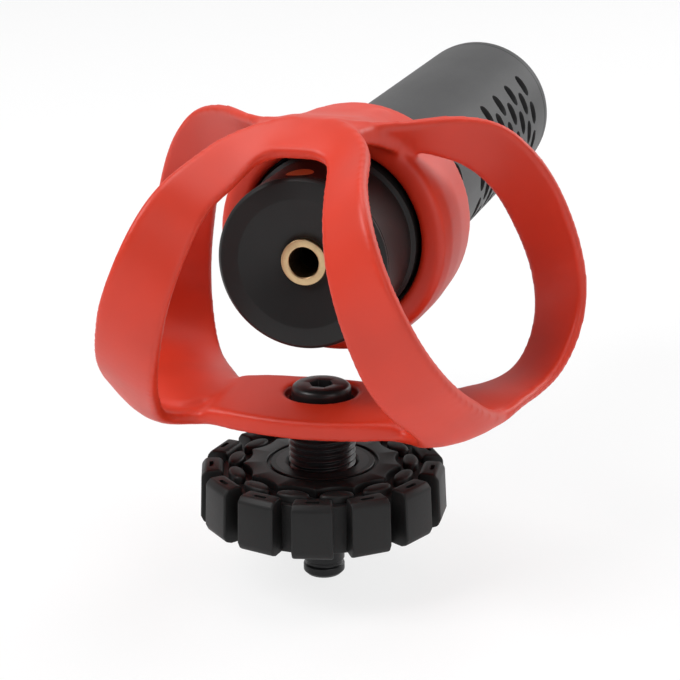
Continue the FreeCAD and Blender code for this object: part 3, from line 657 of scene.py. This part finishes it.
class MIC_OT_stage(Maker, bpy.types.Operator):
    """Camera, floor, world and lamps"""
    bl_idname = "mic.stage"
    bl_label = "Stage"

    def execute(self, context):
        s = context.scene.mic_stage
        cam = bpy.data.objects.new("camera", bpy.data.cameras.new("camera"))
        context.scene.collection.objects.link(cam)
        cam.data.sensor_width = 36.0
        cam.data.lens = s.lens
        cam.data.clip_start, cam.data.clip_end = 0.01, 10.0
        cam.matrix_world = (Matrix.Translation(Vector(s.place)) @ Matrix.Rotation(s.azimuth, 4, "Z")
                            @ Matrix.Rotation(math.pi / 2 - s.elevation, 4, "X") @ Matrix.Rotation(s.roll, 4, "Z"))
        context.scene.camera = cam
        context.scene.view_settings.view_transform = "Standard"

        bm = bmesh.new()
        bmesh.ops.create_grid(bm, x_segments=4, y_segments=4, size=3.0)
        mesh = mesh_of(bm, "floor")
        floor = new_object("floor", mesh)
        floor.location.z = -0.2 * MM
        mat = floor_paper()
        kit = Kit(mat.node_tree)
        out = next(n for n in mat.node_tree.nodes if n.type == "OUTPUT_MATERIAL")
        lit = Wire(kit, out.inputs["Surface"].links[0].from_socket)
        glow = kit.value("ShaderNodeEmission", None, {"Color": (1.0, 1.0, 1.0, 1.0), "Strength": 1.0})
        path = kit.node("ShaderNodeLightPath")
        gone = Wire(kit, path.outputs["Is Glossy Ray"]).at_least(Wire(kit, path.outputs["Is Transmission Ray"]))
        # how white the floor is to a reflection and to the camera; the rest is its lit paper
        white_to_gloss, white_to_camera = 0.45, 0.80
        shown = kit.value("ShaderNodeMixShader", None, {0: gone * white_to_gloss, 1: lit, 2: glow})
        camera_ray = Wire(kit, path.outputs["Is Camera Ray"])
        eye = kit.value("ShaderNodeMixShader", None, {0: camera_ray * white_to_camera, 1: shown, 2: glow})
        kit.link(eye, out, "Surface")
        mesh.materials.append(mat)

        world = bpy.data.worlds.new("studio")
        world.use_nodes = True
        context.scene.world = world
        kit = Kit(world.node_tree)
        world.node_tree.nodes.clear()
        path = kit.node("ShaderNodeLightPath")
        seen = Wire(kit, path.outputs["Is Camera Ray"]).at_least(Wire(kit, path.outputs["Is Transmission Ray"]))
        # reflections see a backdrop behind the object, which fades out between 20 and 49 degrees up
        backdrop = 0.7
        ray = Wire(kit, kit.node("ShaderNodeTexCoord").outputs["Object"])
        way = kit.node("ShaderNodeSeparateXYZ", None, {0: ray})
        behind = Wire(kit, way.outputs[1]).ramp(0.05, 0.45) * (1.0 - Wire(kit, way.outputs[2]).ramp(0.35, 0.75))
        seen = seen.at_least(Wire(kit, path.outputs["Is Glossy Ray"]) * behind * backdrop)
        soft = kit.value("ShaderNodeBackground", None, {"Color": (0.97, 0.98, 1.0, 1.0), "Strength": 0.14})
        white = kit.value("ShaderNodeBackground", None, {"Color": (1.0, 1.0, 1.0, 1.0), "Strength": 1.0})
        sky = kit.value("ShaderNodeMixShader", None, {0: seen, 1: soft, 2: white})
        out = kit.node("ShaderNodeOutputWorld")
        kit.link(sky, out, "Surface")

        aim = Vector((0.0, 0.0, 0.03))
        for name, place, size, watts in (
                ("key lamp", (-0.42, -0.30, 0.62), 0.45, 4.6),
                ("fill lamp", (0.55, -0.45, 0.30), 0.50, 1.3),
                ("top lamp", (0.05, 0.18, 0.70), 0.50, 2.6),
                ("rim lamp", (0.38, 0.50, 0.32), 0.35, 1.3)):
            data = bpy.data.lights.new(name, "AREA")
            data.shape, data.size, data.energy = "SQUARE", size, watts
            lamp = bpy.data.objects.new(name, data)
            context.scene.collection.objects.link(lamp)
            lamp.location = place
            lamp.rotation_euler = (aim - Vector(place)).to_track_quat("-Z", "Y").to_euler()
        return {"FINISHED"}


def nearness(p, middle, half):
    """1 in most of a box given in mm, falling to 0 at its faces."""
    far = max(abs(c - m * MM) / (h * MM) for c, m, h in zip(p, middle, half))
    return max(0.0, 1.0 - far ** 4)


class MIC_OT_cradle(Maker, bpy.types.Operator):
    """Red moulding with its bands, collar and base plate, and the liner in the collar"""
    bl_idname = "mic.cradle"
    bl_label = "Elastic cradle"

    def execute(self, context):
        s = context.scene.mic_cradle
        skin = new_object("cradle_skin", merged_copy("cradle"))
        mod = skin.modifiers.new("skin", "REMESH")
        mod.mode, mod.voxel_size, mod.use_smooth_shade = "VOXEL", s.grain, True
        settled(skin)
        group = skin.vertex_groups.new(name="joins")
        for v in skin.data.vertices:
            p = (abs(v.co.x), v.co.y, v.co.z)
            saddle = nearness(p, (0.0, 3.0, 53.0), (13.0, 13.0, 6.5))
            feet = nearness(p, (17.0, 1.5, 22.5), (9.0, 16.5, 5.2))
            group.add([v.index], max(saddle, feet), "REPLACE")
        for name, count, mask in (("round", s.passes, ""), ("blend", s.blend, "joins"), ("even", 1, "")):
            soft = skin.modifiers.new(name, "SMOOTH")
            soft.factor, soft.iterations, soft.vertex_group = 0.5, count, mask
        settled(skin)
        skin.vertex_groups.clear()
        skin.data.shade_smooth()
        put(skin, soft_red(s.colour), "mount", "red_elastomer", "cradle")
        paint_node("collar_liner", soft_black("liner rubber", s.liner, 0.6))
        return {"FINISHED"}


class MIC_OT_barrel(Maker, bpy.types.Operator):
    """Slotted barrel, rounded front end and index mark"""
    bl_idname = "mic.barrel"
    bl_label = "Barrel"

    def execute(self, context):
        s = context.scene.mic_barrel
        # painted shade: the barrel takes the rear colour behind the turn, where the cradle shades it
        paint = satin_paint("barrel paint", s.colour, 0.40, 0.10, back=s.rear, turn=s.painted_shade_turn)
        y0, y1 = TUBE_LO.y, TUBE_HI.y
        r, ri, rr = BARREL_R, BARREL_R - s.wall, BARREL_R - s.step
        slim, edge = REAR_LO.y + s.slim, 0.12 * MM
        tube = new_object("barrel_skin", along_mic(lathe("barrel", [
            (ri, y0), (rr - edge, y0), (rr, y0 + edge), (rr, slim), (r, slim + s.step),
            (r, y1), (ri, y1)], 192)))

        half, w = (s.slot_length - s.slot_width) / 2, s.slot_width / 2
        outline = [(w * math.cos(a), half + w * math.sin(a)) for a in (math.pi * k / 8 for k in range(9))]
        outline += [(-y, -z) for y, z in outline]
        tool = prism("slot tool", [(r - 3 * MM, y, z) for y, z in outline],
                     [(r + 1 * MM, y, z) for y, z in outline])
        tree = slot_tree(paint)
        front = new_object("slot_tools", tool.copy())
        grow(front, tree, {"Rows": s.rows, "Columns": s.columns, "Short rows": s.short_rows,
                           "Pitch": s.slot_pitch, "First": FRONT_HI.y - s.slot_first,
                           "Top angle": s.top_angle, "Row step": s.row_step})
        front.data.transform(Matrix.Translation((0, 0, AXIS_Z)))
        cut_with(tube, front)
        rear = new_object("rear_slot_tools", tool)
        grow(rear, tree, {"Rows": 1, "Columns": 1, "Short rows": 0, "Pitch": s.slot_pitch,
                          "First": s.rear_slot, "Top angle": s.rear_slot_angle, "Row step": s.row_step})
        rear.data.transform(Matrix.Translation((0, 0, AXIS_Z)))
        cut_with(tube, rear)

        lo, hi = span("index_mark")
        mid, mark_r = (lo + hi) / 2, (hi.y - lo.y) / 2
        turn = math.atan2(mid.x, mid.z - AXIS_Z)
        seat = (Matrix.Translation((0, mid.y, AXIS_Z)) @ Matrix.Rotation(turn, 4, "Y")
                @ Matrix.Translation((0, 0, rr)))
        bm = bmesh.new()
        bmesh.ops.create_cone(bm, cap_ends=True, segments=48, radius1=mark_r, radius2=mark_r,
                              depth=2 * MM, matrix=seat)
        cut_with(tube, new_object("pocket", mesh_of(bm, "pocket")))
        smooth_by_angle(tube.data, 32)
        put(tube, paint, "microphone", "barrel_paint", "barrel_tube")

        flo, fhi = FRONT_LO.y, FRONT_HI.y
        skirt, plate = ri - 1 * MM, fhi - 2.2 * MM
        prof = rounded([(ri, TUBE_HI.y), (r, TUBE_HI.y), (r, fhi), (0.0, fhi)], 1.5 * MM, 8, closed=False)
        prof += [(0.0, plate), (skirt, plate), (skirt, flo), (ri, flo)]
        cap = new_object("front_skin", along_mic(lathe("front", prof, 192)))
        smooth_by_angle(cap.data, 40)
        put(cap, paint, "microphone", "barrel_paint", "front_cap")
        paint_node("index_mark", moulded_plastic("index inlay", s.mark, 0.38))
        return {"FINISHED"}


class MIC_OT_rear(Maker, bpy.types.Operator):
    """Dished rear end and the ring of the jack"""
    bl_idname = "mic.rear"
    bl_label = "Rear end"

    def execute(self, context):
        s = context.scene.mic_barrel
        y = REAR_LO.y
        r, ri, rj = BARREL_R - s.step, BARREL_R - s.wall, (JACK_HI.x - JACK_LO.x) / 2
        edge, fine, spigot = 0.4 * MM, 0.1 * MM, ri - 1.4 * MM
        face = [(rj, y + s.dish), (r - s.rim, y), (r - edge, y), (r, y + edge),
                (r, TUBE_LO.y - fine), (r - fine, TUBE_LO.y)]
        prof = rounded(face, 0.12 * MM, 3, closed=False)
        prof += [(ri, TUBE_LO.y), (ri, REAR_HI.y), (spigot, REAR_HI.y), (spigot, NUT_LO.y), (rj, NUT_LO.y)]
        rear = new_object("rear_skin", along_mic(lathe("rear", prof, 192)))
        smooth_by_angle(rear.data, 30)
        put(rear, satin_paint("rear paint", s.rear, 0.34, 0.10, 0.12), "microphone", "rear_paint", "rear_cap")

        lo, hi = JACK_LO.y, JACK_HI.y
        b = s.jack_bore
        prof = rounded([(b, lo + fine), (b + fine, lo), (rj, lo), (rj, hi), (b, hi)], fine, 3)
        ring = new_object("jack_ring", along_mic(lathe("jack ring", prof, 128)))
        smooth_by_angle(ring.data, 40)
        put(ring, turned_brass("jack brass", s.brass, 0.24), "microphone", "jack_brass", "jack_bushing")
        return {"FINISHED"}


class MIC_OT_post(Maker, bpy.types.Operator):
    """Threaded post, plate screw and foot stud"""
    bl_idname = "mic.post"
    bl_label = "Post, screw and stud"

    def execute(self, context):
        s = context.scene.mic_wheel
        steel = black_oxide(s.steel)
        r, z0, z1 = (POST_HI.x - POST_LO.x) / 2, POST_LO.z, POST_HI.z
        rows, segs = 272, 72
        foot_in = 0.5 * MM

        # the helix fades out over the run at each end
        run_in, run_out = 1.2 * MM, 0.6 * MM
        bm = bmesh.new()
        grid = []
        for k in range(rows + 1):
            z = z0 + (z1 - z0) * k / rows
            fade = min(1.0, (z - z0) / run_in, (z1 - z) / run_out)
            ring = []
            for q in range(segs):
                a = 2 * math.pi * q / segs
                u = (z / s.pitch - a / (2 * math.pi)) % 1.0
                groove = max(0.0, 1.0 - abs(u - 0.5) / 0.42)
                rr = r - s.depth * max(0.0, fade) * min(1.0, groove * 1.25)
                if k == 0:
                    rr = r - foot_in
                ring.append(bm.verts.new((rr * math.cos(a), rr * math.sin(a), z)))
            grid.append(ring)
        for lower, upper in zip(grid, grid[1:]):
            for q in range(segs):
                t = (q + 1) % segs
                bm.faces.new((lower[q], lower[t], upper[t], upper[q]))
        bm.faces.new(list(reversed(grid[0])))
        bm.faces.new(grid[-1])
        post = new_object("post_thread", mesh_of(bm, "thread"))
        smooth_by_angle(post.data, 50)
        put(post, steel, "mount", "black_steel", "threaded_post")

        hr, low, top = (SCREW_HI.x - SCREW_LO.x) / 2, SCREW_LO.z, SCREW_HI.z
        shank, seat = 1.97 * MM, top - 2.1 * MM
        shoulder = [(hr, seat), (hr, top - 0.62 * MM), (hr - 0.18 * MM, top - 0.2 * MM), (hr - 0.6 * MM, top)]
        prof = [(0.0, low), (1.7 * MM, low), (shank, low + 0.3 * MM), (shank, seat)]
        prof += rounded(shoulder, 0.25 * MM, 4, closed=False) + [(0.0, top)]
        screw = new_object("plate_screw", lathe("screw", prof, 96, closed=False))
        corner = 2.5 * MM / math.sqrt(3)
        bm = bmesh.new()
        bmesh.ops.create_cone(bm, cap_ends=True, segments=6, radius1=corner, radius2=corner * 1.03,
                              depth=2.8 * MM,
                              matrix=Matrix.Translation((0, 0, top)) @ Matrix.Rotation(math.radians(30), 4, "Z"))
        cut_with(screw, new_object("hex", mesh_of(bm, "hex")))
        bevelled(screw, 0.08 * MM, 2, 40)
        smooth_by_angle(screw.data, 35)
        put(screw, steel, "mount", "black_steel", "mount_screw")

        sr, tail = (STUD_HI.x - STUD_LO.x) / 2, 2.3 * MM
        edge, neck = 0.4 * MM, sr - 0.22 * MM
        side = [(sr - edge, 0.0), (sr, edge), (sr, 1.22 * MM), (neck, 1.36 * MM), (neck, 1.74 * MM),
                (sr, 1.88 * MM), (sr, POST_LO.z - 0.1 * MM), (tail, POST_LO.z), (tail, STUD_HI.z)]
        prof = [(0.0, 0.0)] + rounded(side, 0.08 * MM, 2, closed=False) + [(0.0, STUD_HI.z)]
        stud = new_object("stud", lathe("stud", prof, 96, closed=False))
        smooth_by_angle(stud.data, 35)
        put(stud, steel, "mount", "black_steel", "foot_stud")
        paint_node("screw_washer", steel)
        return {"FINISHED"}


class MIC_OT_wheel(Maker, bpy.types.Operator):
    """Locking wheel: soft blocks, small pads, star disc, insert and clamp pad"""
    bl_idname = "mic.wheel"
    bl_label = "Locking wheel"

    def execute(self, context):
        s = context.scene.mic_wheel
        rubber = soft_black("tread rubber", s.rubber, 0.44)
        plastic = moulded_plastic("hub plastic", s.plastic, 0.40)
        z0, z1 = CORE_LO.z, CORE_HI.z
        out_r, step = (TREAD_HI.x - TREAD_LO.x) / 2, 2 * math.pi / s.teeth
        floor_z = z1 - s.drop

        # soft rim: floor ring, blocks and pads
        ledge, inner = z0 + 1.6 * MM, (CLAMP_HI.x - CLAMP_LO.x) / 2 + 0.5 * MM
        g = s.gap_floor
        rim = rounded([(s.stem, ledge), (inner, ledge), (inner, z0), (g, z0), (g, floor_z),
                       (s.stem, floor_z)], 0.15 * MM, 3)
        base = lathe("rim floor", rim, 12 * s.teeth)

        # one block: its section, and sides that close in towards the wheel's middle
        section = [(g - 1.3 * MM, z0 + 0.6 * MM), (g - 0.8 * MM, z0), (out_r - 1.1 * MM, z0),
                   (out_r - 0.35 * MM, z0 + 0.3 * MM), (out_r, z0 + 1.1 * MM),
                   (out_r - 0.22 * MM, z1 - 0.8 * MM), (out_r - 0.75 * MM, z1 - 0.12 * MM),
                   (g + 0.1 * MM, z1 - 0.05 * MM), (g - 0.3 * MM, z1 - 0.4 * MM),
                   (g - 0.4 * MM, floor_z - 0.4 * MM), (g - 1.3 * MM, floor_z - 0.5 * MM)]
        flat, taper = out_r * math.sin(step / 2) - s.gap / 2, 0.14
        sides = [[(x, sign * (flat + (x - out_r) * taper), z) for x, z in section] for sign in (-1, 1)]
        block = new_object("block", prism("block", *sides))
        bevelled(block, 0.38 * MM, 4, 28)
        dash = Matrix.Translation((out_r - 1.4 * MM, 0, z1)) @ Matrix.Diagonal((0.5 * MM, 1.7 * MM, 0.9 * MM, 1))
        bm = bmesh.new()
        bmesh.ops.create_cube(bm, size=1.0, matrix=dash)
        upright = [e for e in bm.edges if abs(e.verts[0].co.z - e.verts[1].co.z) > 0.01 * MM]
        bmesh.ops.bevel(bm, geom=upright, offset=0.24 * MM, segments=4, profile=0.5, affect="EDGES")
        cut_with(block, new_object("dash", mesh_of(bm, "dash")))
        grow(block, ring_tree(rubber), {"Count": s.teeth, "Start": s.first})

        # one pad: a dome of radius 1, then stretched to its size
        sunk = floor_z - 0.2 * MM
        dome = [(0.0, sunk), (1.0, sunk), (1.0, z1 - 0.5 * MM), (0.93, z1 - 0.26 * MM),
                (0.8, z1 - 0.16 * MM), (0.55, z1 - 0.1 * MM), (0.0, z1 - 0.08 * MM)]
        pad = new_object("pads", lathe("pad", dome, 40, closed=False))
        pad.data.transform(Matrix.Translation((s.pad_place, 0, 0))
                           @ Matrix.Diagonal((s.pad_wide / 2, s.pad_long / 2, 1, 1)))
        grow(pad, ring_tree(rubber), {"Count": s.teeth, "Start": s.first + step / 2})

        tread = new_object("tread", base)
        bm = bmesh.new()
        for source in (tread, block, pad):
            bm.from_mesh(source.data)
        bm.to_mesh(tread.data)
        bm.free()
        bpy.data.objects.remove(block)
        bpy.data.objects.remove(pad)
        smooth_by_angle(tread.data, 40)
        put(tread, rubber, "wheel", "wheel_rubber", "wheel_tread")

        # star disc with a bite for each pad, and a round groove
        chord = s.star * math.sin(step / 2)
        bite = s.star * math.cos(step / 2) - s.valley
        scallop = (chord * chord + bite * bite) / (2 * bite)
        centre = s.valley + scallop

        def star(a, r, k):
            """The bites are only in the disc's outer wall, which is pairs 2 to 5 of its section."""
            if not 2 <= k <= 5:
                return r
            t = ((a - s.first) % step) - step / 2
            b = scallop + s.star - r
            off = centre * math.sin(t)
            return min(r, centre * math.cos(t) - math.sqrt(max(0.0, b * b - off * off)))

        hole, recess = (INSERT_HI.x - INSERT_LO.x) / 2, z0 + s.recess
        clamp = (CLAMP_HI.x - CLAMP_LO.x) / 2 + 0.05 * MM
        wall = [(s.stem, ledge), (s.stem, floor_z), (s.star, floor_z), (s.star, z1 - 0.22 * MM),
                (s.star - 0.07 * MM, z1 - 0.07 * MM), (s.star - 0.22 * MM, z1)]
        lip = [(0.32 * MM, 0.0), (0.24 * MM, 0.08 * MM), (0.22 * MM, 0.35 * MM)]
        groove = [(s.groove + w, z1 - d) for w, d in lip] + [(s.groove - w, z1 - d) for w, d in reversed(lip)]
        under = [(hole, z1), (hole, recess), (clamp, recess), (clamp, z0), (inner, z0), (inner, ledge)]
        core = new_object("star_disc", lathe("star disc", wall + groove + under, 24 * s.teeth, star))
        smooth_by_angle(core.data, 35)
        put(core, plastic, "wheel", "wheel_plastic", "wheel_core")
        paint_node("wheel_insert", soft_black("insert coating", s.steel, 0.35))
        paint_node("clamp_pad", plastic)
        return {"FINISHED"}


class MIC_OT_inside(Maker, bpy.types.Operator):
    """Finishes of the socket, the board, the pickup and the damping inside"""
    bl_idname = "mic.inside"
    bl_label = "Inside pieces"

    def execute(self, context):
        black = moulded_plastic("socket plastic", (0.02, 0.02, 0.02), 0.5)
        spring = turned_brass("contact brass", (0.75, 0.55, 0.28), 0.2)
        can = drawn_can((0.72, 0.72, 0.73))
        seal = soft_black("seal rubber", (0.015, 0.015, 0.015), 0.55)
        foam = open_foam((0.03, 0.03, 0.032))
        for material, nodes in (
                (black, ("jack_body", "preamp_chip", "output_relay", "board_rail_left",
                         "board_rail_right", "capsule_holder")),
                (spring, ("jack_nut", "jack_sleeve_spring", "jack_ring_spring", "jack_tip_spring",
                          "capsule_lead_left", "capsule_lead_right")),
                (can, ("filter_cap_a", "filter_cap_b", "capsule")),
                (seal, ("cap_oring", "capsule_boot")),
                (foam, ("foam_core", "foam_tube")),
                (board_mask((0.012, 0.11, 0.045)), ("circuit_board",)),
                (woven_mesh((0.035, 0.035, 0.036)), ("acoustic_mesh",))):
            for node in nodes:
                paint_node(node, material)
        return {"FINISHED"}


def paint_node(node, material):
    """A CAD node keeps its shape and takes this material."""
    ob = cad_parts[node]
    if not ob.material_slots:
        ob.data.materials.append(material)
    for place in ob.material_slots:
        place.material = material


class MIC_PT_panel(bpy.types.Panel):
    """Lists the pieces and their sizes"""
    bl_idname = "MIC_PT_panel"
    bl_label = "Microphone"
    bl_space_type = "VIEW_3D"
    bl_region_type = "UI"
    bl_category = "Microphone"

    def draw(self, context):
        for maker in MAKERS:
            self.layout.operator(maker.bl_idname)
        for group in GROUPS:
            box = self.layout.box()
            settings = getattr(context.scene, group)
            for name in type(settings).__annotations__:
                box.prop(settings, name)


MAKERS = (MIC_OT_stage, MIC_OT_cradle, MIC_OT_barrel, MIC_OT_rear, MIC_OT_post, MIC_OT_wheel, MIC_OT_inside)
GROUPS = {"mic_cradle": CradleSettings, "mic_barrel": BarrelSettings, "mic_wheel": WheelSettings,
          "mic_stage": StageSettings}


def register():
    for cls in (*GROUPS.values(), *MAKERS, MIC_PT_panel):
        bpy.utils.register_class(cls)
    for name, cls in GROUPS.items():
        setattr(bpy.types.Scene, name, PointerProperty(type=cls))


def unregister():
    for name in GROUPS:
        delattr(bpy.types.Scene, name)
    for cls in reversed((*GROUPS.values(), *MAKERS, MIC_PT_panel)):
        bpy.utils.unregister_class(cls)


def main():
    register()
    for maker in MAKERS:
        group, name = maker.bl_idname.split(".")
        getattr(getattr(bpy.ops, group), name)()


if __name__ == "__main__":
    main()
